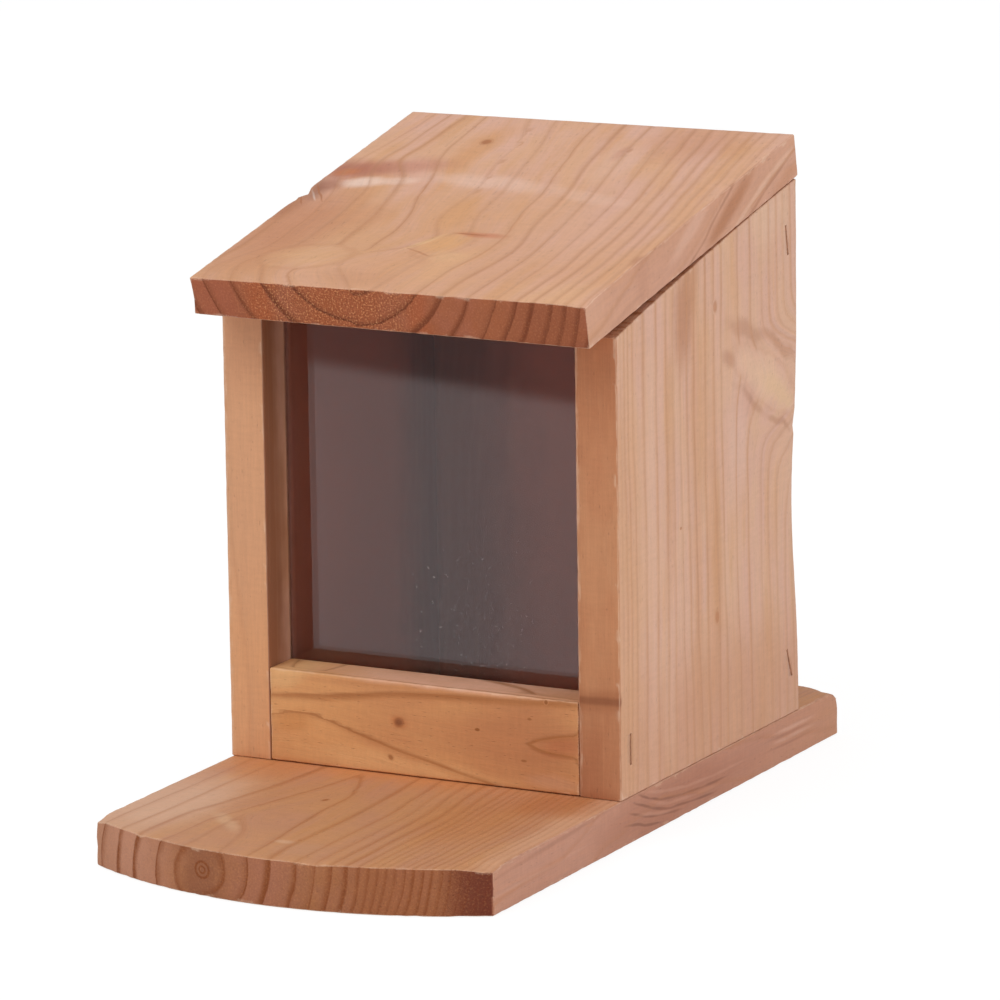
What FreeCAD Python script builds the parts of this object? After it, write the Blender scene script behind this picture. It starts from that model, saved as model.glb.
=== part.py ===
"""Squirrel feeder box: a bare wood box with a clear front window, a hinged sloping lid and a
bow-fronted base board that forms a feeding tray in front and a spacer strip behind.

Millimetres. +X is to the right as seen from the front, +Y to the rear, +Z up. The origin is on the
base's underside, at the middle of the overall width and depth. The front faces -Y.
"""
import FreeCAD
import Part

import math
import os

from FreeCAD import Vector

# Box: two side panels standing on the base, with a back panel and a front rail between them
box_width = 125.0
box_depth = 116.0
board_thickness = 13.0
side_front_height = 132.0
side_top_pitch = 12.5
rail_height = 27.0
rail_gap = 0.3

# Base board: its front edge is an arc that bows out past the straight front corners
base_thickness = 13.5
base_front_reach = 93.3
base_bow = 17.0
base_rear_strip = 26.5

# Window: a clear sheet in grooves in the side panels
window_thickness = 3.0
window_face_gap = 0.2
window_edge_gap = 0.3
groove_depth = 4.0

# Lid board: sawn a little thinner at its left edge, it lies flatter than the side panels' tops, as
# the window's top edge holds its front up
lid_left_thickness = 11.2
lid_right_thickness = 12.8
lid_front_overhang = 16.0
lid_rear_overhang = 1.5
lid_front_gap = 2.9
lid_rear_gap = 0.3
lid_window_gap = 0.3

# Hinges: two small steel butt hinges across the joint of the back panel and the lid
hinge_length = 25.0
hinge_inset = 32.5
leaf_width = 10.0
leaf_thickness = 1.2
knuckle_count = 5
knuckle_radius = 2.0
knuckle_gap = 0.25
knuckle_stand_off = 0.3
pin_radius = 1.0
pin_clearance = 0.05
pin_head_radius = 1.5
pin_head_thickness = 0.5
lid_knuckle_gap = 0.4

# Screws: countersunk, two to a leaf
screw_length = 12.0
screw_radius = 1.1
screw_head_radius = 2.2
screw_tip_length = 2.5
screw_clearance = 0.05
screw_spacing = 14.0
body_screw_height = 6.5
lid_screw_height = 6.2
recess_width = 0.6
recess_length = 2.4
recess_depth = 0.7

# Staples: narrow crown wire staples, sunk just under the wood's surface
staple_crown = 9.1
staple_leg = 28.0
staple_wire_width = 1.2
staple_wire_depth = 1.0
staple_sink = 0.3
staple_low_height = 15.6
staple_top_setback = 15.5
low_staple_tilt = 20.0
top_staple_tilt = 9.0
base_staple_inset = 30.0
base_back_staple_inset = 42.5

# Places that follow from the sizes above
half_width = box_width / 2
inner_half_width = half_width - board_thickness
base_depth = base_front_reach + box_depth + base_rear_strip
box_front = base_front_reach - base_depth / 2
box_rear = box_front + box_depth
base_top = base_thickness
side_rise = box_depth * math.tan(math.radians(side_top_pitch))
side_rear_height = side_front_height + side_rise
front_joint_centre = box_front + board_thickness / 2
back_joint_centre = box_rear - board_thickness / 2
groove_front = box_front + board_thickness
groove_width = window_thickness + 2 * window_face_gap

lid_front_z = base_top + side_front_height + lid_front_gap
lid_rear_z = base_top + side_rear_height + lid_rear_gap
lid_pitch = math.atan2(lid_rear_z - lid_front_z, box_depth)
lid_along = Vector(0, math.cos(lid_pitch), math.sin(lid_pitch))
lid_up = Vector(0, -math.sin(lid_pitch), math.cos(lid_pitch))
lid_end_arris = Vector(0, box_rear, lid_rear_z) + lid_along * lid_rear_overhang
lid_length = box_depth / math.cos(lid_pitch) + lid_front_overhang + lid_rear_overhang

pin_y = box_rear + knuckle_radius + knuckle_stand_off
underside_rise_to_pin = (pin_y - lid_end_arris.y) * math.tan(lid_pitch)
pin_drop = (knuckle_radius + lid_knuckle_gap) / math.cos(lid_pitch)
pin_axis = Vector(0, pin_y, lid_end_arris.z + underside_rise_to_pin - pin_drop)
hinge_centres = [hinge_inset - half_width, half_width - hinge_inset]
screw_offsets = [-screw_spacing / 2, screw_spacing / 2]


def box_between(low, high):
    """A box from its low corner to its high corner."""
    return Part.makeBox(high[0] - low[0], high[1] - low[1], high[2] - low[2], Vector(*low))


def extrude_across(points, half_length):
    """A prism from a side-view outline of (y, z) points, centred across the width."""
    corners = [Vector(-half_length, y, z) for y, z in points]
    face = Part.Face(Part.makePolygon(corners + corners[:1]))
    return face.extrude(Vector(2 * half_length, 0, 0))


def one_solid(shape):
    """The shape with its coplanar faces merged, as a plain solid."""
    return shape.removeSplitter().Solids[0]


def export(name, shape):
    """Write one piece, or one group of like pieces, to its own file."""
    shape.exportStep(f"parts/{name}.step")


def placed(shape, origin, x_axis, y_axis, z_axis):
    """A copy of a shape moved from its local frame to the given origin and axes."""
    turn = FreeCAD.Rotation(x_axis, y_axis, z_axis, "ZXY")
    copy = shape.copy()
    copy.Placement = FreeCAD.Placement(origin, turn)
    return copy


def side_top_at(y):
    """Height of the side panels' sloping top at a depth y."""
    return base_top + side_front_height + (y - box_front) * math.tan(math.radians(side_top_pitch))


def lid_underside_at(y):
    """Height of the lid's underside at a depth y."""
    return lid_front_z + (y - box_front) * math.tan(lid_pitch)


def base_board():
    """Flat board with straight sides and rear, and a front edge bowed out in one arc."""
    front_corner = -base_depth / 2 + base_bow
    rear = base_depth / 2
    left_front = Vector(-half_width, front_corner, 0)
    right_front = Vector(half_width, front_corner, 0)
    apex = Vector(0, -base_depth / 2, 0)
    edges = [
        Part.Arc(left_front, apex, right_front).toShape(),
        Part.makeLine(right_front, Vector(half_width, rear, 0)),
        Part.makeLine(Vector(half_width, rear, 0), Vector(-half_width, rear, 0)),
        Part.makeLine(Vector(-half_width, rear, 0), left_front),
    ]
    return Part.Face(Part.Wire(edges)).extrude(Vector(0, 0, base_thickness))


def side_panel(side):
    """Upright board with a sloping top and a window groove on its inner face; side is -1 or 1."""
    outline = [
        (box_front, base_top),
        (box_rear, base_top),
        (box_rear, side_top_at(box_rear)),
        (box_front, side_top_at(box_front)),
    ]
    panel = extrude_across(outline, board_thickness / 2)
    panel.translate(Vector(side * (half_width - board_thickness / 2), 0, 0))
    inner = side * inner_half_width
    groove_end = inner + side * groove_depth
    groove_low = (min(inner, groove_end), groove_front, base_top)
    groove_high = (max(inner, groove_end), groove_front + groove_width, side_top_at(box_rear))
    return panel.cut(box_between(groove_low, groove_high))


def back_panel():
    """Upright board between the side panels, its top bevelled to their slope."""
    front = box_rear - board_thickness
    outline = [
        (front, base_top),
        (box_rear, base_top),
        (box_rear, side_top_at(box_rear)),
        (front, side_top_at(front)),
    ]
    return extrude_across(outline, inner_half_width)


def front_rail():
    """Low rail between the side panels, a hair above the base."""
    bottom = base_top + rail_gap
    low = (-inner_half_width, box_front, bottom)
    high = (inner_half_width, box_front + board_thickness, bottom + rail_height)
    return box_between(low, high)


def window_sheet():
    """Clear sheet standing on the base in the side panels' grooves, up to the lid."""
    edge = inner_half_width + groove_depth - window_edge_gap
    face = groove_front + window_face_gap
    top = lid_underside_at(face) - lid_window_gap
    return box_between((-edge, face, base_top), (edge, face + window_thickness, top))


def lid_board():
    """Tapered board with square ends, lying on the slope from past the front to past the rear."""
    front_arris = lid_end_arris - lid_along * lid_length
    left = front_arris - Vector(half_width, 0, 0)
    right = front_arris + Vector(half_width, 0, 0)
    corners = [left, right, right + lid_up * lid_right_thickness, left + lid_up * lid_left_thickness]
    end_grain = Part.Face(Part.makePolygon(corners + corners[:1]))
    return end_grain.extrude(lid_along * lid_length)


def staple_shape(crown_top):
    """A staple with its crown along X and its legs down -Z; crown_top is the crown's top height."""
    reach = staple_crown / 2
    half_wire = staple_wire_width / 2
    crown_bottom = -staple_sink - staple_wire_depth
    shape = box_between((-reach, -half_wire, crown_bottom), (reach, half_wire, crown_top))
    for end in (-1, 1):
        outer = end * reach
        inner = end * (reach - staple_wire_depth)
        low = (min(outer, inner), -half_wire, -staple_sink - staple_leg)
        high = (max(outer, inner), half_wire, crown_bottom)
        shape = shape.fuse(box_between(low, high))
    return one_solid(shape)


def staple_and_slot(place):
    """A staple at a place, and the slot it leaves in the wood; place is (origin, x, y, z)."""
    staple = placed(staple_shape(-staple_sink), *place)
    slot = placed(staple_shape(staple_wire_depth), *place)
    return staple, slot


def side_staple_places(side):
    """Two staples into the back panel and one into the front rail, from one side's face."""
    rail_centre = base_top + rail_gap + rail_height / 2
    top_height = side_top_at(back_joint_centre) - staple_top_setback
    spots = [
        (front_joint_centre, rail_centre, 0.0),
        (back_joint_centre, base_top + staple_low_height, low_staple_tilt),
        (back_joint_centre, top_height, top_staple_tilt),
    ]
    outward = Vector(side, 0, 0)
    places = []
    for y, z, lean in spots:
        origin = Vector(side * half_width, y, z)
        tilt = math.radians(lean) if side > 0 else 0.0
        crown_line = Vector(0, -math.sin(tilt), math.cos(tilt))
        places.append((origin, crown_line, outward.cross(crown_line), outward))
    return places


def base_staple_places():
    """Two staples up into each side panel and two into the back panel, from the underside."""
    down = Vector(0, 0, -1)
    places = []
    for side in (-1, 1):
        x = side * (half_width - board_thickness / 2)
        for y in (box_front + base_staple_inset, box_rear - base_staple_inset):
            crown_line = Vector(0, 1, 0)
            places.append((Vector(x, y, 0), crown_line, down.cross(crown_line), down))
        origin = Vector(side * (half_width - base_back_staple_inset), back_joint_centre, 0)
        crown_line = Vector(1, 0, 0)
        places.append((origin, crown_line, down.cross(crown_line), down))
    return places


def screw_blank(clearance):
    """A countersunk screw without its recess, head face at Z 0, pointing down -Z."""
    head_depth = screw_head_radius - screw_radius
    shank = screw_radius + clearance
    head = Part.makeCone(shank, screw_head_radius + clearance, head_depth, Vector(0, 0, -head_depth))
    straight_length = screw_length - head_depth - screw_tip_length
    straight_bottom = -head_depth - straight_length
    straight = Part.makeCylinder(shank, straight_length, Vector(0, 0, straight_bottom))
    tip = Part.makeCone(clearance, shank, screw_tip_length, Vector(0, 0, -screw_length))
    return one_solid(head.fuse([straight, tip]))


def screw():
    """The screw with a cross recess in its head."""
    reach = recess_length / 2
    half_slot = recess_width / 2
    bar = box_between((-reach, -half_slot, -recess_depth), (reach, half_slot, recess_depth))
    cross = box_between((-half_slot, -reach, -recess_depth), (half_slot, reach, recess_depth))
    return screw_blank(0.0).cut([bar, cross]).Solids[0]


def hinge_leaf(seat, knuckles, screw_height):
    """One leaf about a pin along X: its plate runs up +Z, with its wood face at Y = seat.

    knuckles lists which of the barrel's knuckles are this leaf's.
    """
    plate_bottom = knuckle_radius + knuckle_gap
    half_length = hinge_length / 2
    face = seat + leaf_thickness
    leaf = box_between((-half_length, seat, plate_bottom), (half_length, face, leaf_width))
    pitch = hinge_length / knuckle_count
    along_pin = Vector(1, 0, 0)
    for index in knuckles:
        start = -half_length + index * pitch + (knuckle_gap / 2 if index > 0 else 0.0)
        end = -half_length + (index + 1) * pitch
        if index < knuckle_count - 1:
            end -= knuckle_gap / 2
        ring = Part.makeCylinder(knuckle_radius, end - start, Vector(start, 0, 0), along_pin)
        web = box_between((start, seat, 0), (end, face, plate_bottom))
        leaf = leaf.fuse([ring, web])
    bore = Part.makeCylinder(
        pin_radius + pin_clearance, hinge_length, Vector(-half_length, 0, 0), along_pin
    )
    leaf = leaf.cut(bore)
    for offset in screw_offsets:
        origin = Vector(offset, face, screw_height)
        leaf = leaf.cut(placed(screw_blank(screw_clearance), origin, *facing_out()))
    return one_solid(leaf)


def facing_out():
    """Local axes of a screw whose head faces +Y."""
    return Vector(1, 0, 0), Vector(0, 0, -1), Vector(0, 1, 0)


def hinge_pin():
    """Pin through the barrel, its ends peened over into low heads."""
    along_pin = Vector(1, 0, 0)
    half_length = hinge_length / 2
    start = -half_length - pin_head_thickness
    core_length = hinge_length + 2 * pin_head_thickness
    core = Part.makeCylinder(pin_radius, core_length, Vector(start, 0, 0), along_pin)
    heads = [
        Part.makeCylinder(pin_head_radius, pin_head_thickness, Vector(x, 0, 0), along_pin)
        for x in (start, half_length)
    ]
    return one_solid(core.fuse(heads))


def leaf_frames(centre):
    """Origins and axes of a hinge's two leaves: the body's plate runs down, the lid's runs up."""
    origin = Vector(centre, pin_axis.y, pin_axis.z)
    body_frame = (origin, Vector(-1, 0, 0), Vector(0, 1, 0), Vector(0, 0, -1))
    lid_frame = (origin, Vector(1, 0, 0), lid_along, lid_up)
    return body_frame, lid_frame


def leaf_screws(frame, seat, screw_height, clearance):
    """A leaf's screws in place, or with a clearance the holes that they leave in the wood."""
    origin, x_axis, y_axis, z_axis = frame
    shape = screw() if clearance == 0.0 else screw_blank(clearance)
    screws = []
    for offset in screw_offsets:
        spot = origin + x_axis * offset + y_axis * (seat + leaf_thickness) + z_axis * screw_height
        screws.append(placed(shape, spot, x_axis, z_axis * -1, y_axis))
    return screws


os.makedirs("parts", exist_ok=True)

# Boards before their fixings
boards = {
    "base_board": base_board(),
    "left_side_panel": side_panel(-1),
    "right_side_panel": side_panel(1),
    "back_panel": back_panel(),
    "front_rail": front_rail(),
    "lid_board": lid_board(),
}

# Staples, each in its own slot in every board that it passes through
staple_groups = {
    "left_side_staples": side_staple_places(-1),
    "right_side_staples": side_staple_places(1),
    "base_staples": base_staple_places(),
}
for group, places in staple_groups.items():
    pairs = [staple_and_slot(place) for place in places]
    export(group, Part.makeCompound([staple for staple, slot in pairs]))
    slots = [slot for staple, slot in pairs]
    for name in ("base_board", "left_side_panel", "right_side_panel", "back_panel", "front_rail"):
        boards[name] = boards[name].cut(slots)

# Hinges and their screws, with pilot holes in the back panel's rear face and the lid's rear end
body_seat = -knuckle_radius - knuckle_stand_off
lid_seat = (lid_end_arris - pin_axis).dot(lid_along)
body_knuckles = range(0, knuckle_count, 2)
lid_knuckles = range(1, knuckle_count, 2)
body_screws = []
lid_screws = []
for side_name, centre in zip(("left", "right"), hinge_centres):
    body_frame, lid_frame = leaf_frames(centre)
    body_leaf = hinge_leaf(body_seat, body_knuckles, body_screw_height)
    lid_leaf = hinge_leaf(lid_seat, lid_knuckles, lid_screw_height)
    export(f"{side_name}_hinge_body_leaf", placed(body_leaf, *body_frame))
    export(f"{side_name}_hinge_lid_leaf", placed(lid_leaf, *lid_frame))
    export(f"{side_name}_hinge_pin", placed(hinge_pin(), *lid_frame))
    body_screws += leaf_screws(body_frame, body_seat, body_screw_height, 0.0)
    lid_screws += leaf_screws(lid_frame, lid_seat, lid_screw_height, 0.0)
    body_holes = leaf_screws(body_frame, body_seat, body_screw_height, screw_clearance)
    lid_holes = leaf_screws(lid_frame, lid_seat, lid_screw_height, screw_clearance)
    boards["back_panel"] = boards["back_panel"].cut(body_holes)
    boards["lid_board"] = boards["lid_board"].cut(lid_holes)
export("body_hinge_screws", Part.makeCompound(body_screws))
export("lid_hinge_screws", Part.makeCompound(lid_screws))

for name, board in boards.items():
    export(name, board.Solids[0])
export("window_sheet", window_sheet())
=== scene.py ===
import math

import bpy
import numpy as np
from mathutils import Matrix, Vector, noise


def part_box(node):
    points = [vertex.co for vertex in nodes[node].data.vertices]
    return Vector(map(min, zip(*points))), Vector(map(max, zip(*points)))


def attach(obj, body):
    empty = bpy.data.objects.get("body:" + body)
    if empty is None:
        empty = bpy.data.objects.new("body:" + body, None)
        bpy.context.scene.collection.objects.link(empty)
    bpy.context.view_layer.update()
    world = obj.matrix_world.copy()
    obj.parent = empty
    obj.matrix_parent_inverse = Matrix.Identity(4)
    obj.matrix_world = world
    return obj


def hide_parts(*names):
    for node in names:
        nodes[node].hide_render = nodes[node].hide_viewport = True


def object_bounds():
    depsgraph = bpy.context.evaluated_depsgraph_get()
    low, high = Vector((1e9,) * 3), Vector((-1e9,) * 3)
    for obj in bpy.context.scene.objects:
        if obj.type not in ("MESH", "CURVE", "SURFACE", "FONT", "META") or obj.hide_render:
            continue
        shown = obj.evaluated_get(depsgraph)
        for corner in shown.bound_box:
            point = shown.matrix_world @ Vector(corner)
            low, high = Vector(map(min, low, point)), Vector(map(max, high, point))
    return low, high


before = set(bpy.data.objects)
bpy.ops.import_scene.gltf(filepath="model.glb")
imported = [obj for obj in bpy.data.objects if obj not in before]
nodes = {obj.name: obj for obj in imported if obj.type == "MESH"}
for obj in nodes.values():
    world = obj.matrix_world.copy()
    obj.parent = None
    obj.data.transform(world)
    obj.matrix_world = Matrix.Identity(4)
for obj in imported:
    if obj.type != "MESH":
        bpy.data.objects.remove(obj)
cad_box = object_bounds()
MM = 0.001
RIGHT = Vector((1, 0, 0))
REAR = Vector((0, 1, 0))
UP = Vector((0, 0, 1))

# Base board
# A planed softwood board that everything stands on. Its front edge is sawn to a bow and left
# furry along the top arris; the pith of the tree runs through its left half, along the depth.


class Number:
    """A value in a material's node tree; arithmetic on it adds Math nodes."""

    def __init__(self, paint, socket):
        self.paint = paint
        self.socket = socket

    def maths(self, operation, *values):
        return self.paint.node("ShaderNodeMath", {"operation": operation}, values)

    def __add__(self, other):
        return self.maths("ADD", self, other)

    def __sub__(self, other):
        return self.maths("SUBTRACT", self, other)

    def __rsub__(self, other):
        return self.maths("SUBTRACT", other, self)

    def __mul__(self, other):
        return self.maths("MULTIPLY", self, other)

    def __truediv__(self, other):
        return self.maths("DIVIDE", self, other)

    def __pow__(self, other):
        return self.maths("POWER", self, other)

    __radd__ = __add__
    __rmul__ = __mul__

    def root(self):
        return self.maths("SQRT", self)

    def least(self, other):
        return self.maths("MINIMUM", self, other)

    def most(self, other):
        return self.maths("MAXIMUM", self, other)

    def rise(self, start, end):
        """0 up to start and 1 from end on, with a smooth step between; end may lie below start."""
        if end < start:
            return 1 - self.rise(end, start)
        settings = {"interpolation_type": "SMOOTHSTEP"}
        return self.paint.node("ShaderNodeMapRange", settings, [self, start, end, 0.0, 1.0])


class Paint:
    """One material as it is put together around a Principled shader."""

    def __init__(self, name):
        self.material = bpy.data.materials.new(name)
        self.material.use_nodes = True
        self.tree = self.material.node_tree
        self.shader = self.tree.nodes["Principled BSDF"]

    def node(self, kind, settings, inputs, output=0):
        """Adds a node: its settings first, then a value or a link for each input."""
        made = self.tree.nodes.new(kind)
        for key, value in settings.items():
            setattr(made, key, value)
        pairs = inputs.items() if isinstance(inputs, dict) else enumerate(inputs)
        for key, value in pairs:
            if isinstance(value, Number):
                self.tree.links.new(value.socket, made.inputs[key])
            else:
                made.inputs[key].default_value = value
        return Number(self, made.outputs[output])

    def place(self):
        """The point on the surface in millimetres, in the part's own frame."""
        return self.scaled(self.node("ShaderNodeTexCoord", {}, [], "Object"), 1 / MM)

    def scaled(self, vector, factor):
        settings = {"operation": "SCALE"}
        return self.node("ShaderNodeVectorMath", settings, {0: vector, "Scale": factor})

    def carried(self, name, output):
        """A value that the mesh itself carries."""
        return self.node("ShaderNodeAttribute", {"attribute_name": name}, [], output)

    def along(self, vector, direction):
        """How far a vector reaches in a direction."""
        settings = {"operation": "DOT_PRODUCT"}
        return self.node("ShaderNodeVectorMath", settings, [vector, direction], 1)

    def join(self, x, y, z):
        return self.node("ShaderNodeCombineXYZ", {}, [x, y, z])

    def cloud(self, vector, detail=2.0, roughness=0.5):
        """Smooth noise about 0, mostly within half a unit, with features about one unit across."""
        inputs = {"Vector": vector, "Scale": 1.0, "Detail": detail, "Roughness": roughness}
        return self.node("ShaderNodeTexNoise", {}, inputs) - 0.5

    def mix(self, share, first, second, blend="MIX"):
        settings = {"data_type": "RGBA", "blend_type": blend}
        return self.node("ShaderNodeMix", settings, {0: share, 6: first, 7: second}, 2)

    def bump(self, height, depth_mm):
        inputs = {"Strength": 1.0, "Distance": depth_mm * MM, "Height": height}
        return self.node("ShaderNodeBump", {}, inputs)

    def cover(self, share, shader):
        """Lays another shader over the Principled one in some share."""
        bare = Number(self, self.shader.outputs[0])
        both = self.node("ShaderNodeMixShader", {}, [share, bare, shader])
        self.tree.links.new(both.socket, self.tree.nodes["Material Output"].inputs[0])

    def feed(self, **inputs):
        """Sets or links the shader's sockets, named with underscores for spaces."""
        for name, value in inputs.items():
            socket = self.shader.inputs[name.replace("_", " ")]
            if isinstance(value, Number):
                self.tree.links.new(value.socket, socket)
            else:
                socket.default_value = value


def colour(red, green, blue):
    """An sRGB colour of 0 to 255 as the linear colour that a socket takes."""
    linear = []
    for part in (red, green, blue):
        share = part / 255
        linear.append(share / 12.92 if share <= 0.04045 else ((share + 0.055) / 1.055) ** 2.4)
    return (*linear, 1.0)


def smooth(stations, values, along):
    """Values between stations, with the corners between the straight stretches rounded."""
    steps = (-3.0, -1.5, 0.0, 1.5, 3.0)
    return sum(np.interp(along + step, stations, values) for step in steps) / len(steps)


def read_rings(rings, along, across):
    """Ring count at places on a board's face, and how far the rings there drift across.

    Each ring is its count and its points (along, across) on the face. A point with another
    count gives it as a third value, and so does every point where the ring's count is None.
    """
    places = []
    counts = []
    for count, points in rings:
        stations = [point[0] for point in points]
        places.append(smooth(stations, [point[1] for point in points], along))
        levels = [point[2] if point[2:] else count for point in points]
        counts.append(smooth(stations, levels, along))
    total = counts[0] + (places[0] - across) / 6
    for low, high, first, last in zip(places, places[1:], counts, counts[1:]):
        share = np.clip((across - low) / np.maximum(high - low, 0.05), 0, 1)
        total = np.where(across >= low, first + share * (last - first), total)
    weights = [np.exp(-(((across - place) / 9) ** 2)) + 1e-9 for place in places]
    drift = sum(weight * (place - place.mean()) for weight, place in zip(weights, places))
    return total, drift / sum(weights)


def count_inside(growth, spots, sway):
    """Ring count at spots (along, across, up) anywhere in a board."""
    along, across, height = spots.T
    heart = smooth(*zip(*growth["pith"]), along)
    sideways = across + sway - heart
    face = growth["face_height"]
    reach = face - growth["pith_height"]
    spread = sideways ** 2 + (height - growth["pith_height"]) ** 2 - reach ** 2
    on_face = heart + np.sign(sideways) * np.sqrt(np.maximum(spread, 0))
    on_face = on_face + growth["lean"] * (face - height)
    count = read_rings(growth["rings"], along, on_face)[0]
    return count + np.minimum(spread, 0) / reach ** 2 * 0.5


probe = 0.6  # mm each way over which the rings' spacing is measured
fewest_rings = 0.03  # per mm, on faces that run along the rings
end_from, end_span = 0.6, 0.2  # how far a face turns towards the grain until it is end grain
flat_corner = 0.985  # cosine between a corner's normal and its faces' where there is no arris
smooth_angle = math.radians(35)  # widest bend between faces that is shaded smooth


def grow(board, axes, growth):
    """Puts a board's growth in its mesh, and smooths its eased arrises.

    The mesh carries the ring count, mm per ring and fibre flow, the end grain and the arrises.
    """
    grain, width, up, origin = axes
    turn = np.array([list(direction) for direction in (grain, width, up)])
    mesh = board.data
    corners = np.empty(len(mesh.vertices) * 3)
    mesh.vertices.foreach_get("co", corners)
    spots = (corners.reshape(-1, 3) - np.array(list(origin))) @ turn.T / MM
    sway = np.array([sway_at(spot) for spot in spots])
    count = count_inside(growth, spots, sway)
    slope = np.empty((len(spots), 3))
    for axis in range(3):
        step = np.zeros(3)
        step[axis] = probe
        ahead = count_inside(growth, spots + step, sway)
        behind = count_inside(growth, spots - step, sway)
        slope[:, axis] = (ahead - behind) / (2 * probe)
    drift = read_rings(growth["rings"], spots[:, 0], spots[:, 1] + sway)[1]
    flow = spots[:, 1] + sway - drift

    loop_vertex = np.empty(len(mesh.loops), dtype=np.int32)
    mesh.loops.foreach_get("vertex_index", loop_vertex)
    sizes = np.empty(len(mesh.polygons), dtype=np.int32)
    mesh.polygons.foreach_get("loop_total", sizes)
    facing = np.empty(len(mesh.polygons) * 3)
    mesh.polygons.foreach_get("normal", facing)
    facing = np.repeat(facing.reshape(-1, 3) @ turn.T, sizes, axis=0)
    steep = slope[loop_vertex]
    steep = steep - (steep * facing).sum(axis=1, keepdims=True) * facing
    spacing = 1 / np.maximum(np.linalg.norm(steep, axis=1), fewest_rings)
    rings = np.stack([count[loop_vertex], spacing, flow[loop_vertex]], axis=1)
    carried = mesh.attributes.new("rings", "FLOAT_VECTOR", "CORNER").data
    carried.foreach_set("vector", rings.ravel())
    end = np.clip((np.abs(facing[:, 0]) - end_from) / end_span, 0, 1)
    mesh.attributes.new("end_grain", "FLOAT", "CORNER").data.foreach_set("value", end)

    upright = np.empty(len(mesh.vertices) * 3)
    mesh.vertices.foreach_get("normal", upright)
    upright = upright.reshape(-1, 3) @ turn.T
    agree = np.ones(len(mesh.vertices))
    np.minimum.at(agree, loop_vertex, (facing * upright[loop_vertex]).sum(axis=1))
    arris = (agree < flat_corner).astype(float)
    mesh.attributes.new("arris", "FLOAT", "POINT").data.foreach_set("value", arris)
    only(board)
    bpy.ops.object.shade_smooth_by_angle(angle=smooth_angle)


def sway_at(spot):
    """How far the grain wanders sideways at a spot, in mm."""
    along, across, height = spot
    slow = noise.noise(Vector((along / 55, across / 24, height / 24)))
    quick = noise.noise(Vector((along / 15, across / 7, height / 7)))
    return slow * 0.9 + quick * 0.3


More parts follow.
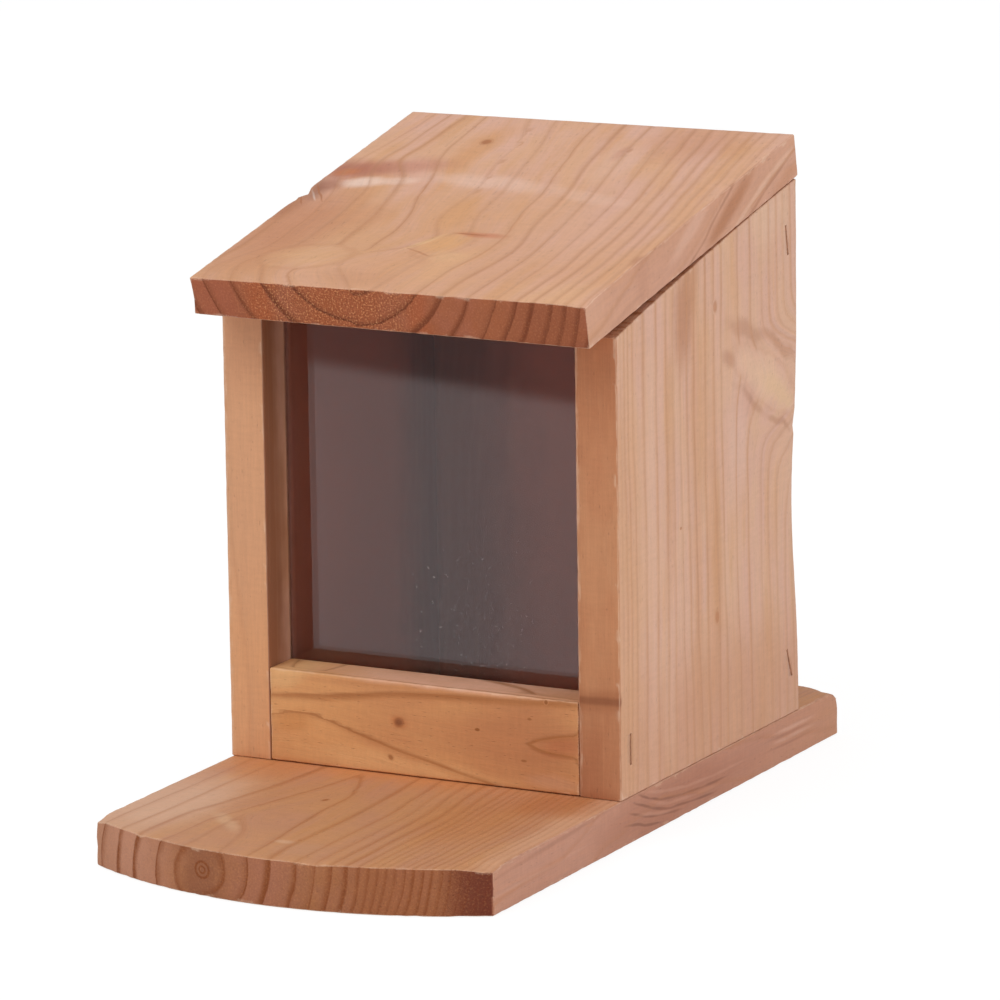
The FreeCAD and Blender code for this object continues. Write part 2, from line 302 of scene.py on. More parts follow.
def wood(
    name,
    axes,
    tones,
    end_tone,
    contrast=1.0,
    line_width=0.9,
    sand=(0, 200, 0.6),
    eye=None,
    depth=0.0,
    **marks,
):
    """Bare softwood that follows the growth in its mesh.

    tones are early wood, late wood, ring line, blush and gold, and end_tone multiplies the end
    grain, all in sRGB of 0 to 255. line_width is in mm. sand is where across the end grain it
    looks coarse, how far that reaches and how coarse it is, eye the place (across, up) of small
    rings around the pith, and depth how much darker the ring lines are on the end grain.

    marks holds lists of ellipses in mm and degrees, each with along, across, half length, half
    width and turn first: knots, with how dark the core and the rim are; stains, end_stains,
    side_stains and inner_stains, with colour and strength. A side stain lies on the +X face and
    has its height in place of across. inner_stains is painted shade, dark and red as the inside
    of the box is, on the face at height 0, where the rings and fibres are drawn fainter too.
    Each of end_shades has its middle across, its reach and the colour that multiplies the end
    grain.
    """
    grain, width, up, origin = axes
    paint = Paint(name)
    place = paint.place()
    a, c, u = (
        paint.along(place, direction) - direction.dot(origin) / MM
        for direction in (grain, width, up)
    )
    rings = paint.carried("rings", "Vector")
    count, spacing, flow = (paint.along(rings, direction) for direction in (RIGHT, REAR, UP))
    end = paint.carried("end_grain", "Fac")
    arris = paint.carried("arris", "Fac")
    early_tone, late_tone, line_tone, blush_tone, gold_tone = (colour(*tone) for tone in tones)

    # Noise along the fibres, or all round, with features as long and as wide as the divisors
    quick = paint.cloud(paint.join(a / 7, c / 4, u / 4), 2.0)
    wander = paint.cloud(paint.join(a / 22, c / 12, u / 12), 2.0)
    fibre = paint.cloud(paint.join(a / 34, flow / 0.9, u / 0.9), 4.0, 0.65)
    thread = paint.cloud(paint.join(a / 5, flow / 0.3, u / 0.3), 2.0, 0.6)
    patch = paint.cloud(paint.join(a / 38, flow / 13, u / 13 + 3.1), 3.0, 0.55)
    warmth = paint.cloud(paint.join(a / 52 + 9.3, flow / 8, u / 8), 3.0, 0.55)
    ripple = paint.cloud(paint.join(a / 1.1, flow / 5, u / 5), 2.0, 0.6)
    grit = paint.cloud(paint.join(a / 0.6, c / 0.55, u / 0.55), 2.0, 0.7)

    # Blushes, gold patches and stains, each kind on its own faces, and painted shade on the inner
    # face
    tint = paint.mix((patch * 3.0 + 0.5).rise(0.1, 0.95), early_tone, blush_tone)
    tint = paint.mix((warmth * 3.0 + 0.5).rise(0.4, 1.4) * 0.7, tint, gold_tone)
    side_face = cad_box[1][0] / MM
    side = c.rise(side_face - 0.8, side_face - 0.3)
    inside = u.rise(0.5, 0.1)
    # Where inner shade is painted, the inner face's rings, fibres, frayed arrises and relief are
    # drawn fainter, as in shade
    painted_shade_flat = inside * (0.8 if "inner_stains" in marks else 0.0)
    places = {
        "stains": (c, 1.0 - inside),
        "end_stains": (c, end),
        "side_stains": (u, side),
        "inner_stains": (c, inside),
    }
    for kind, (across, only_on) in places.items():
        for *shape, tone, strength in marks.get(kind, ()):
            shaken_a = a + wander * min(shape[2], 9) * 0.9
            shaken_c = across + (wander + quick * 0.5) * min(shape[3], 9) * 0.8
            near = ellipse(shaken_a, shaken_c, *shape)
            share = (near + patch * 0.5).rise(1.1, 0.25) * strength
            tint = paint.mix(share * only_on, tint, colour(*tone))

    # The late wood's line at each whole count, soft on its inner side, and as strong as its ring
    turn = count.maths("FRACT", count)
    ring_number = (count + 0.04).maths("FLOOR", count + 0.04)
    odd = paint.node("ShaderNodeTexWhiteNoise", {"noise_dimensions": "1D"}, {"W": ring_number})
    inner = (1 - turn) * spacing + thread * 0.35 + quick * 0.2
    outer = turn * spacing
    line = (inner / (spacing * 0.5).least(end * 0.3 + line_width)).rise(1.0, 0.05)
    line = line.most((outer / (spacing * 0.3).least(1.0 - end * 0.6)).rise(1.0, 0.0))
    soft = (inner / (spacing * 0.5).least(3.6)).rise(1.0, 0.0) ** 1.7
    weight = (0.35 + odd * 0.85) * (0.85 + patch * 1.3 + fibre * 0.8) * contrast
    weight = weight * ((spacing / 6).least(1.0) * 0.3 + 0.7) * (1.0 + end * 1.7 - painted_shade_flat)

    # Knots, which break the rings they lie in
    dark = None
    for *shape, core, rim in marks.get("knots", ()):
        shaken_a = a + (wander + quick * 0.4) * min(shape[2], 8) * 0.5
        shaken_c = c + (wander + quick * 0.4) * min(shape[3], 8) * 0.5
        near = ellipse(shaken_a, shaken_c, *shape)
        middle = near.rise(1.05, 0.45) * core
        edge = near.rise(0.8, 0.96) * near.rise(1.15, 0.99) * rim
        shade = middle.most(edge)
        dark = shade if dark is None else dark.most(shade)
        weight = weight * near.rise(0.9, 1.1)
    tint = paint.mix((soft * 0.75 * weight + fibre * 0.3).most(0.0).least(1.0), tint, late_tone)
    tint = paint.mix((line * 0.55 * weight).least(1.0), tint, line_tone)
    if dark is not None:
        tint = paint.mix(dark.least(1.0) * (1.0 - inside), tint, line_tone)

    # Fibres and pores, and the end grain with its eye, shades and coarse places
    speck = paint.cloud(paint.join(a / 1.8, c / 0.45, u / 0.45), 0.0).rise(0.24, 0.34)
    pore = paint.cloud(paint.join(a / 0.7, c / 0.55, u / 0.55), 1.0)
    value = fibre * 0.24 + thread * 0.14 + ripple * 0.13 + grit * 0.09 - speck * 0.14
    value = 1.0 + value * (1.0 - painted_shade_flat)
    if eye is not None:
        away = ((c - eye[0]) ** 2.0 + (u - eye[1]) ** 2.0).root() + quick * 0.3
        first = away.rise(0.6, 0.9) * away.rise(1.4, 1.1)
        second = away.rise(1.8, 2.1) * away.rise(2.9, 2.4)
        tint = paint.mix(end * (first + second) * 0.8, tint, line_tone)
    tint = paint.mix(end, tint, paint.mix(1.0, tint, colour(*end_tone), "MULTIPLY"))
    for middle, reach, tone in marks.get("end_shades", ()):
        share = end * (((c - middle) / reach) ** 2.0 + thread * 0.9).rise(1.0, 0.0)
        tint = paint.mix(share, tint, paint.mix(1.0, tint, colour(*tone), "MULTIPLY"))
    middle, reach, coarseness = sand
    sandy = end * (1.3 - ((c - middle) / reach) ** 2.0).most(0.2).least(1.0) * coarseness
    value = value + sandy * (grit * 0.5 + pore * 0.6) - end * line * (0.6 + odd * 0.8) * depth
    tint = paint.mix((sandy * pore.rise(0.0, 0.28) * 0.6).least(1.0), tint, gold_tone)
    # Frayed arrises, and the whole tint made lighter and darker by the fibres
    pale = paint.mix(0.5, early_tone, (0.9, 0.72, 0.56, 1.0))
    frayed = (arris + thread * 0.9 + quick * 0.8).rise(0.72, 1.2) * 0.4 * (1.0 - painted_shade_flat)
    tint = paint.mix(frayed, tint, pale)
    tint = paint.mix(1.0, tint, paint.join(value, value, value), "MULTIPLY")
    relief = fibre * 0.6 + thread * 0.5 + ripple * 0.4 + line * 0.4 - speck * 0.8
    relief = relief * (1.0 - painted_shade_flat)
    paint.feed(
        Base_Color=tint,
        Roughness=0.62 + fibre * 0.2 - line * 0.08 + end * 0.2,
        Normal=paint.bump(relief + sandy * (grit + pore) * 2.2, 0.1),
        IOR=1.45,
        Specular_IOR_Level=0.4,
    )
    return paint


def ellipse(a, c, along, across, half_length, half_width, turned):
    """Distance from an ellipse's middle, 1 on its outline."""
    turn = math.radians(turned)
    x = a - along
    y = c - across
    ahead = (x * math.cos(turn) + y * math.sin(turn)) / half_length
    aside = (y * math.cos(turn) - x * math.sin(turn)) / half_width
    return (ahead ** 2.0 + aside ** 2.0).root()


def streak(points, half_width, tone, strength):
    """Stains that follow a bent line, one ellipse for each of its stretches."""
    stains = []
    for (a, c), (next_a, next_c) in zip(points, points[1:]):
        half_length = math.hypot(next_a - a, next_c - c) * 0.75
        turned = math.degrees(math.atan2(next_c - c, next_a - a))
        middle = ((a + next_a) / 2, (c + next_c) / 2)
        stains.append((*middle, half_length, half_width, turned, tone, strength))
    return stains


def reach_of(mesh, direction):
    """How far a mesh's corners reach along a direction, lowest and highest, in metres."""
    spans = [direction.dot(vertex.co) for vertex in mesh.vertices]
    return min(spans), max(spans)


def only(piece):
    """Makes a piece the only one selected."""
    bpy.ops.object.select_all(action="DESELECT")
    piece.select_set(True)
    bpy.context.view_layer.objects.active = piece


def block(name, low, high):
    """A block between two corners, with its place in its mesh."""
    bpy.ops.object.select_all(action="DESELECT")
    centre = (Vector(low) + Vector(high)) / 2
    bpy.ops.mesh.primitive_cube_add(size=1, location=centre, scale=Vector(high) - Vector(low))
    bpy.ops.object.transform_apply(location=True, rotation=False, scale=True)
    piece = bpy.context.object
    piece.name = name
    return piece


def slice_up(piece, *cuts):
    """Cuts a board's faces into strips. Each cut is a direction and the strips' width in mm."""
    only(piece)
    for direction, step in cuts:
        low, high = reach_of(piece.data, direction)
        count = max(2, round((high - low) / (step * MM)))
        bpy.ops.object.mode_set(mode="EDIT")
        for index in range(1, count):
            bpy.ops.mesh.select_all(action="SELECT")
            spot = direction * (low + (high - low) * index / count)
            bpy.ops.mesh.bisect(plane_co=spot, plane_no=direction)
        bpy.ops.object.mode_set(mode="OBJECT")


def ease_arrises(piece, width, sharp=math.radians(40)):
    """Rounds over, by a small width, a board's edges that bend more than the sharp angle."""
    only(piece)
    bpy.ops.object.mode_set(mode="EDIT")
    bpy.ops.mesh.select_mode(type="EDGE")
    bpy.ops.mesh.select_all(action="DESELECT")
    bpy.ops.mesh.edges_select_sharp(sharpness=sharp)
    bpy.ops.mesh.bevel(offset=width, segments=3, profile=0.5, affect="EDGES")
    bpy.ops.object.mode_set(mode="OBJECT")


def wear(piece, amount, fineness, dents=()):
    """Draws the arrises in unevenly, and pushes the surface in where a board is worn.

    A dent is its middle, its reach in x, y and z and its push, in metres.
    """
    for vertex in piece.data.vertices:
        corner = max(abs(vertex.normal.x), abs(vertex.normal.y), abs(vertex.normal.z))
        if corner < flat_corner:
            spot = vertex.co / (fineness * MM)
            push = noise.noise(spot) * 0.6 + noise.noise(spot * 2.3) * 0.4
            vertex.co -= vertex.normal * amount * max(0.0, push + 0.25)
        for middle, reach, shift in dents:
            away = vertex.co - Vector(middle)
            spread = sum((part / span) ** 2 for part, span in zip(away, reach))
            if spread < 9:
                vertex.co += Vector(shift) * math.exp(-spread)


def cut_with(board, node, outward):
    """Cuts a board with a copy of a fixings node, its outermost faces drawn out along outward."""
    tool = bpy.data.objects.new("tool", nodes[node].data.copy())
    bpy.context.collection.objects.link(tool)
    only(tool)
    bpy.ops.object.mode_set(mode="EDIT")
    bpy.ops.mesh.select_mode(type="FACE")
    bpy.ops.mesh.select_all(action="SELECT")
    bpy.ops.mesh.remove_doubles(threshold=0.000001)
    bpy.ops.mesh.select_all(action="DESELECT")
    bpy.ops.object.mode_set(mode="OBJECT")
    outer = max(outward.dot(vertex.co) for vertex in tool.data.vertices)
    for polygon in tool.data.polygons:
        facing = polygon.normal.dot(outward) > 0.99
        polygon.select = facing and outward.dot(polygon.center) > outer - 0.4 * MM
    bpy.ops.object.mode_set(mode="EDIT")
    shift = {"value": outward * MM}
    bpy.ops.mesh.extrude_region_move(TRANSFORM_OT_translate=shift)
    bpy.ops.object.mode_set(mode="OBJECT")
    cut_by(board, tool)


def cut_by(board, tool):
    """Cuts a tool's shape out of a board and throws the tool away."""
    only(board)
    cut = board.modifiers.new("cut", "BOOLEAN")
    cut.operation = "DIFFERENCE"
    cut.solver = "EXACT"
    cut.object = tool
    bpy.ops.object.modifier_apply(modifier="cut")
    bpy.data.objects.remove(tool)


def finish_board(piece, node, body, paint):
    """Paints a piece and puts it in its node's place."""
    piece.data.materials.clear()
    piece.data.materials.append(paint.material)
    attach(piece, body)
    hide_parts(node)


base_low, base_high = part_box("base_board")
base_bow = 17 * MM
base_half = base_high.x
bow_radius = (base_half ** 2 + base_bow ** 2) / (2 * base_bow)
bow_fade = 70 * MM

base = block("base_board_wood", base_low, base_high)
ease_arrises(base, 0.6 * MM)
slice_up(base, (REAR, 2.4), (RIGHT, 2.2), (UP, 2.7))
for vertex in base.data.vertices:
    drop = bow_radius - math.sqrt(bow_radius ** 2 - vertex.co.x ** 2)
    share = max(0.0, 1 - (vertex.co.y - base_low.y) / bow_fade)
    vertex.co.y += drop * share

# Corners and splinters knocked off in use: middle, reach and push
base_wear = [
    ((-base_half, base_low.y + base_bow, base_high.z), (0.003, 0.004, 0.003), (0.0003, 0, -0.001)),
    ((base_half, base_low.y + base_bow, base_high.z), (0.007, 0.005, 0.003), (0, 0, -0.0011)),
    ((base_half, base_high.y, base_high.z), (0.006, 0.0026, 0.0034), (0, -0.0006, -0.0022)),
    ((-0.043, base_low.y + 0.0075, base_high.z), (0.0014, 0.0016, 0.002), (0, 0, -0.0007)),
    ((0.016, base_low.y + 0.0012, base_high.z), (0.004, 0.0012, 0.002), (0, 0.0002, -0.0005)),
]
wear(base, 0.3 * MM, 2.2, base_wear)
cut_with(base, "base_staples", -UP)

base_axes = (REAR, RIGHT, UP, Vector((0, base_low.y, 0)))
base_rings = [
    (6, [(-5, -66), (90, -64), (240, -66)]),
    (5, [(-5, -57.9), (14, -58), (40, -57), (60, -55.5), (90, -55), (240, -56)]),
    (4, [(-5, -52.5), (11, -51.5), (40, -49.5), (60, -49), (90, -48), (240, -50)]),
    (3, [(-5, -44.2), (11, -44.4), (28, -43.3), (37, -42.3), (41, -40.5), (51, -38.1), (59, -36.4),
         (66, -35.2), (74, -34.1), (82, -33.5), (89, -32.7), (120, -32), (240, -34)]),
    (2, [(-5, -36.7), (8, -34.3), (22, -33.5), (30, -33.5), (38, -30.5), (45, -28.5), (54, -26.8),
         (61, -25.1), (69, -23), (78, -21.3), (84, -20.5), (89, -19.3), (91.5, -18.6),
         (110, -18.6, 2.4), (240, -20, 2.4)]),
    (1, [(-5, -27), (20, -28), (36, -28.6), (40, -28.9), (55, -22.2, 1.4), (75, -18.7, 1.75),
         (91, -18.6, 2), (110, -18.6, 2.4), (240, -20, 2.4)]),
    (None, [(-5, -19.7, 0.5), (20, -22.5, 0.7), (30, -25, 0.85), (37, -28.2, 0.97), (40, -28.8, 1),
         (55, -22, 1.4), (75, -18.5, 1.75), (91, -18.4, 2), (110, -18.4, 2.4), (240, -19.8, 2.4)]),
    (1, [(-5, -12.7), (6, -14.2), (12, -15.4), (18, -16.7), (23.5, -18.4), (28, -21.7),
         (37, -27.2), (40, -28.6), (55, -21.8, 1.4), (75, -18.3, 1.75), (91, -18.2, 2),
         (110, -18.2, 2.4), (240, -19.6, 2.4)]),
    (2, [(-5, -4.4), (11, -5.5), (21, -6.2), (33, -7.5), (43, -8.3), (53, -9.1), (60, -8.9),
         (66, -8.9), (70, -10), (76.5, -12.1), (81.5, -13.8), (86, -16.3), (88, -17.3),
         (91, -18.1), (110, -18, 2.4), (240, -19.4, 2.4)]),
    (3, [(-5, 2.8), (2, 2.2), (14, 1.2), (31, 1.5), (49, 1.8), (70, 0.7), (88, -0.1), (120, -3),
         (240, -2)]),
    (4, [(-5, 11.3), (19, 10.8), (53, 10.4), (61, 9.8), (71, 8.5), (90, 7), (120, 6), (240, 8)]),
    (5, [(-5, 16.1), (23, 16.1), (53, 15.2), (63, 14), (71, 12.5), (90, 11), (120, 10.5),
         (240, 13)]),
    (6, [(-5, 21), (36, 20.5), (57, 19.9), (67, 18.2), (76, 16.4), (90, 15), (120, 14.5),
         (240, 18)]),
    (7, [(-5, 25.8), (57, 24.9), (70, 23), (80, 21.5), (120, 19), (240, 23)]),
    (8, [(-5, 29.2), (57, 28.6), (74, 26.8), (82, 25.4), (120, 23), (240, 27)]),
]
for index in range(17):
    start = 31.7 + 2.35 * index
    points = [(-5, start), (57, start - 0.5), (85, start - 2.4), (120, start - 3.5), (240, start)]
    base_rings.append((9 + index, points))
base_growth = {
    "rings": base_rings,
    "pith": [(-5, -19.7), (20, -22.5), (40, -27), (60, -21), (90, -18.4), (240, -19.7)],
    "pith_height": 7.5,
    "face_height": 13.5,
    "lean": 0.18,
}
grow(base, base_axes, base_growth)
base_tones = (
    (205, 147, 103),
    (186, 122, 78),
    (162, 92, 40),
    (200, 143, 108),
    (206, 146, 92),
)
# Partly painted light: the pale patch at the left and the deeper orange to the right stand for
# light falling from the left, and the orange near the box's front (along 84 to 98) for shade and
# warm light bounced off the box, over the wood's own blushes
base_stains_and_shade = [
    (38, -54, 50, 24, 0, (222, 178, 148), 0.85),
    (10, -52, 14, 20, 0, (208, 158, 124), 0.5),
    (70, 60, 95, 7.5, 0, (216, 166, 134), 0.7),
    (98, -10, 18, 60, 0, (212, 138, 82), 0.65),
    (60, 34, 40, 20, 0, (198, 130, 78), 0.6),
    (29, -28, 15, 3.6, -47, (222, 180, 142), 0.5),
    (17.5, -2.5, 2.2, 4.0, 0, (222, 178, 144), 0.6),
    (12, 6, 8, 12, 0, (200, 148, 116), 0.5),
    (84, -46, 14, 22, 0, (204, 134, 86), 0.5),
    (84, 48, 18, 16, 0, (186, 112, 66), 0.6),
]
base_end_stains = [
    (0, -50, 30, 26, 0, (238, 188, 162), 0.9),
    (0, -19.7, 30, 8.5, 0, (180, 124, 92), 0.75),
    (0, 0, 30, 13, 0, (212, 152, 126), 0.6),
    (8, 38, 30, 20, 0, (190, 124, 84), 0.6),
    (14, 63, 30, 16, 0, (158, 96, 66), 0.7),
]
# The first, broad tone darkens the whole right side: partly the wood's own colour, partly painted
# shade
base_side_stains_and_shade = [
    (110, 7, 220, 60, 0, (188, 133, 112), 0.8),
    (128, 6, 64, 10, 0, (166, 106, 80), 0.6),
    (205, 7, 17, 0.8, -1, (212, 164, 142), 0.6),
    (205, 9.6, 17, 0.8, -1, (212, 164, 142), 0.6),
    (202, 5.4, 20, 0.6, -1, (158, 104, 82), 0.5),
    (202, 8.3, 20, 0.6, -1, (158, 104, 82), 0.5),
]
base_waves = [
    [(105, 12.6), (111, 10.2), (118, 8.4), (131, 6.5), (144, 5.5), (158, 5.0)],
    [(102, 10.8), (112, 7.2), (125, 4.4), (138, 3.1), (152, 2.2)],
    [(100, 8.4), (108, 5.7), (118, 4.2), (131, 2.4)],
    [(98, 5.6), (108, 3.4), (119, 1.8)],
]
for line in base_waves:
    base_side_stains_and_shade += streak(line, 0.55, (122, 74, 54), 0.6)
base_pale = [
    [(110, 12.4), (120, 10.2), (134, 8.2), (150, 7.2), (170, 7.0)],
    [(112, 8.8), (124, 6.0), (138, 4.6), (154, 3.9)],
    [(104, 6.9), (114, 5.3), (126, 3.4)],
]
for line in base_pale:
    base_side_stains_and_shade += streak(line, 0.7, (200, 146, 122), 0.5)
base_side_stains_and_shade += [
    (50, 11.6, 44, 0.9, 2, (140, 92, 70), 0.3),
    (40, 5.6, 40, 0.8, 1, (214, 164, 142), 0.3),
]
base_knots = [
    (61, -14, 1.7, 1.0, 20, 0.8, 0.2),
    (20.5, 0.6, 1.1, 0.9, 0, 0.5, 0.0),
]
base_paint = wood(
    "base_board_wood",
    base_axes,
    base_tones,
    (206, 186, 174),
    contrast=0.56,
    line_width=2.2,
    sand=(0, 200, 0.22),
    eye=(-19.7, 7.5),
    knots=base_knots,
    stains=base_stains_and_shade,
    end_stains=base_end_stains,
    end_shades=[(66, 18, (200, 156, 146))],
    side_stains=base_side_stains_and_shade,
)
finish_board(base, "base_board", "box", base_paint)

# Side panels
# Two planed boards with upright grain, sloping tops and a saw kerf inside for the window. They
# are stapled through their faces to the back panel and the front rail.

top_bow = 0.9 * MM
window_low, window_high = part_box("window_sheet")


def sloping_board(node, name):
    """A board that fills a node's box up to the node's sloping top, and its top's front height."""
    low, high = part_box(node)
    corners = [vertex.co for vertex in nodes[node].data.vertices]
    front_top = max(corner.z for corner in corners if corner.y < low.y + 0.1 * MM)
    slope = (high.z - front_top) / (high.y - low.y)
    board = block(name, low, high)
    only(board)
    bpy.ops.object.mode_set(mode="EDIT")
    bpy.ops.mesh.select_all(action="SELECT")
    normal = Vector((0, -slope, 1)).normalized()
    bpy.ops.mesh.bisect(plane_co=high, plane_no=normal, clear_outer=True, use_fill=True)
    bpy.ops.object.mode_set(mode="OBJECT")
    return board, front_top


def side_board(node, name, staples, outward, dents=()):
    """A side board, its sloping top sawn a little bowed, with its wear, groove and staples."""
    low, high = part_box(node)
    board, front_top = sloping_board(node, name)
    ease_arrises(board, 0.5 * MM)
    slice_up(board, (REAR, 2), (UP, 2.6), (RIGHT, 3.3))
    for vertex in board.data.vertices:
        share = (vertex.co.y - low.y) / (high.y - low.y)
        if vertex.co.z > front_top + share * (high.z - front_top) - 2 * MM:
            vertex.co.z += top_bow * max(0.0, math.sin(math.pi * share)) ** 0.7
    wear(board, 0.16 * MM, 2.6, dents)
    room = Vector((0.3 * MM, 0.2 * MM, MM))
    cut_by(board, block("tool", window_low - room, window_high + room + UP * 30 * MM))
    cut_with(board, staples, outward)
    cut_with(board, "base_staples", -UP)
    return board


def straight_rings(places, start, wander):
    """Growth rings that run straight along a board, each drifting a little of its own accord."""
    rings = []
    for index, place in enumerate(places):
        points = []
        for along in (-5, 40, 80, 120, 165):
            drift = noise.noise(Vector((along / 90, place / 14, 4.4)))
            points.append((along, place + wander * drift))
        rings.append((start + index, points))
    return rings


side_tones = (
    (218, 173, 144),
    (202, 150, 112),
    (184, 122, 80),
    (216, 170, 148),
    (212, 160, 118),
)

left_low, left_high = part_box("left_side_panel")
left_panel = side_board("left_side_panel", "left_side_wood", "left_side_staples", -RIGHT)
left_axes = (UP, REAR, -RIGHT, Vector((left_high.x, left_low.y, left_low.z)))
left_growth = {
    "rings": straight_rings([-6 + 3.9 * index for index in range(36)], 0, 5),
    "pith": [(-5, -60), (165, -64)],
    "pith_height": -20,
    "face_height": 13,
    "lean": 0.2,
}
grow(left_panel, left_axes, left_growth)
# The darker tone at the top of the front edge (along 126) is painted shade under the lid's
# overhang
left_stains_and_shade = [
    (60, 0, 260, 0.8, 0, (212, 155, 114), 0.9),
    (16, 0, 44, 0.8, 0, (224, 162, 112), 0.6),
    (126, 0, 26, 0.8, 0, (200, 142, 106), 0.6),
    (30, 80, 40, 12, 0, (206, 150, 116), 0.5),
    (120, 50, 30, 20, 10, (226, 186, 162), 0.6),
]
# Painted shade on the inner face: redder in the middle, dark towards the rear and at the front
# edge, where the inside of the box is in shade
left_inner_stains = [
    (70, 60, 300, 60, 0, (222, 148, 107), 0.9),
    (70, 106, 300, 30, 0, (126, 66, 48), 0.75),
    (70, 0, 300, 17, 0, (142, 86, 54), 0.9),
]
left_paint = wood(
    "left_side_wood",
    left_axes,
    side_tones,
    (206, 184, 172),
    contrast=0.7,
    inner_stains=left_inner_stains,
    knots=[(52, 71, 3.2, 2.3, 0, 0.7, 0.5), (118, 30, 1.6, 1.1, 0, 0.7, 0.3)],
    stains=left_stains_and_shade,
)
finish_board(left_panel, "left_side_panel", "box", left_paint)

right_low, right_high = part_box("right_side_panel")
rear_arris = (right_high.x, right_high.y)
right_wear = [
    ((*rear_arris, right_low.z + 0.062), (0.0075, 0.004, 0.03), (-0.0011, -0.0017, 0)),
    ((*rear_arris, right_low.z + 0.086), (0.003, 0.002, 0.0018), (-0.0004, -0.0008, 0)),
]
right_panel = side_board(
    "right_side_panel", "right_side_wood", "right_side_staples", RIGHT, right_wear
)
right_axes = (UP, REAR, RIGHT, right_low)
right_places = [-8, -4, -0.5, 2.4, 5.1, 7.7, 10.7, 17.5, 25, 31.5, 36]
right_rings = straight_rings(right_places, 2, 1.2) + [
    (13, [(-5, 43), (20, 42), (40, 41), (80, 40), (165, 39)]),
    (14, [(-5, 48), (35, 46), (100, 44.5), (165, 44)]),
    (15, [(-5, 53.2), (17, 52), (35, 50), (64, 49), (106, 48.2), (140, 47.9), (165, 48)]),
    (16, [(-5, 58.5), (30, 57), (80, 56), (165, 56.3)]),
    (17, [(-5, 64), (40, 64.4), (80, 61.5), (165, 61)]),
    (18, [(-5, 69.5), (30, 69.5), (60, 67.5), (100, 66.5), (165, 67)]),
    (19, [(-5, 77.6), (28, 77.3), (43, 76.5), (69, 75.5), (99, 76), (105, 78.3), (108, 80),
         (113, 79), (121, 77.3), (165, 77)]),
    (20, [(-5, 85.4), (28, 84.9), (64, 83.9), (85, 83.3), (91, 84.5), (95, 86.5), (98, 91),
         (101, 95), (106, 95), (112, 90), (118, 86), (165, 85.3)]),
    (21, [(-5, 92.5), (54, 91.7), (79, 91.7), (84, 92.9), (87, 95.8), (88.5, 101), (89.5, 108),
         (92, 118), (96, 124), (104, 124), (110, 108), (115, 95), (120, 92.5), (165, 92)]),
    (22, [(-5, 98.5), (33, 97.4), (59, 96.4), (75, 96.6), (81, 98), (84.5, 101), (86, 106),
         (87.5, 114), (90, 126), (106, 128), (111, 114), (116, 100), (121, 97.5), (165, 97.3)]),
    (23, [(-5, 103), (22, 102.6), (43, 102), (68, 101.6), (75, 102.8), (79, 106), (81, 111),
         (83, 118), (88, 132), (108, 132), (113, 112), (119, 103), (165, 102.5)]),
    (24, [(-5, 108.5), (43, 107.5), (60, 107.6), (68, 110), (73, 114), (77, 122), (88, 138),
         (109, 138), (115, 114), (121, 107), (165, 106.5)]),
    (25, [(-5, 113.5), (40, 112.8), (56, 113.5), (66, 118), (78, 132), (90, 144), (110, 144),
         (117, 119), (123, 112), (165, 111)]),
    (26, [(-5, 118), (56, 119), (80, 140), (95, 150), (110, 150), (123, 118), (165, 116)]),
    (27, [(-5, 124), (56, 125), (80, 146), (95, 156), (110, 156), (123, 124), (165, 122)]),
]
right_growth = {
    "rings": right_rings,
    "pith": [(-5, -90), (165, -90)],
    "pith_height": -10,
    "face_height": 13,
    "lean": 0.3,
}
grow(right_panel, right_axes, right_growth)
right_stains = [
    (70, 0, 260, 0.8, 0, (178, 108, 68), 0.95),
    (10, 0, 36, 0.8, 0, (158, 84, 44), 0.85),
    (103, 95, 27, 8.4, 118, (226, 184, 154), 0.9),
    (98, 104, 18, 4, 118, (224, 184, 146), 0.7),
    (120, 83, 17, 3.8, 108, (180, 126, 96), 0.5),
    (113, 71, 6, 3.2, 112, (178, 124, 98), 0.5),
    (111, 104, 17, 2.4, 122, (182, 128, 94), 0.5),
    (98, 84, 15, 2.4, 122, (178, 126, 98), 0.55),
    (89, 103, 12, 1.8, 112, (176, 124, 96), 0.5),
    (96, 79, 10, 6, 118, (204, 152, 130), 0.5),
    (130, 42, 18, 9, 0, (184, 126, 92), 0.75),
    (140, 47, 12, 7, 0, (192, 136, 100), 0.6),
    (100, 50, 46, 7, 0, (208, 154, 112), 0.5),
    (40, 50, 50, 4, 0, (206, 150, 106), 0.5),
    (60, 60, 62, 5, 0, (208, 152, 114), 0.5),
    (10, 60, 32, 120, 0, (198, 142, 108), 0.6),
    (60, 6, 90, 12, 0, (210, 156, 114), 0.55),
    (70, 22, 90, 6, 0, (222, 178, 154), 0.5),
    (90, 33, 50, 4, 0, (206, 152, 110), 0.5),
    (30, 31, 34, 5, 0, (220, 176, 152), 0.5),
    (88, 76, 24, 8, 0, (224, 184, 166), 0.5),
    (150, 96, 10, 20, 0, (226, 188, 160), 0.4),
    (150, 52, 5, 24, 10, (226, 180, 140), 0.4),
    (54, 63, 36, 4.2, 0, (200, 144, 98), 0.5),
    (14, 0, 16, 0.8, 0, (164, 92, 50), 0.2),
    (28.4, 0, 4.4, 1.4, 0, (146, 80, 42), 0.35),
    (28.4, 0, 1.5, 1.4, 0, (110, 54, 28), 0.45),
]
right_knots = [
    (39.5, 62, 2.5, 1.8, 0, 0.75, 0.2),
    (129.6, 62, 2.3, 1.7, 0, 0.65, 0.1),
    (70.3, 39.3, 0.6, 0.9, 0, 0.8, 0.0),
    (103, 95, 25, 7.4, 118, 0.0, 0.12),
]
right_paint = wood(
    "right_side_wood",
    right_axes,
    side_tones,
    (206, 184, 172),
    contrast=0.7,
    line_width=2.0,
    # Painted shade, dark and red, over the inner face inside the box
    inner_stains=[(70, 60, 300, 80, 0, (158, 100, 72), 0.85)],
    knots=right_knots,
    stains=right_stains,
)
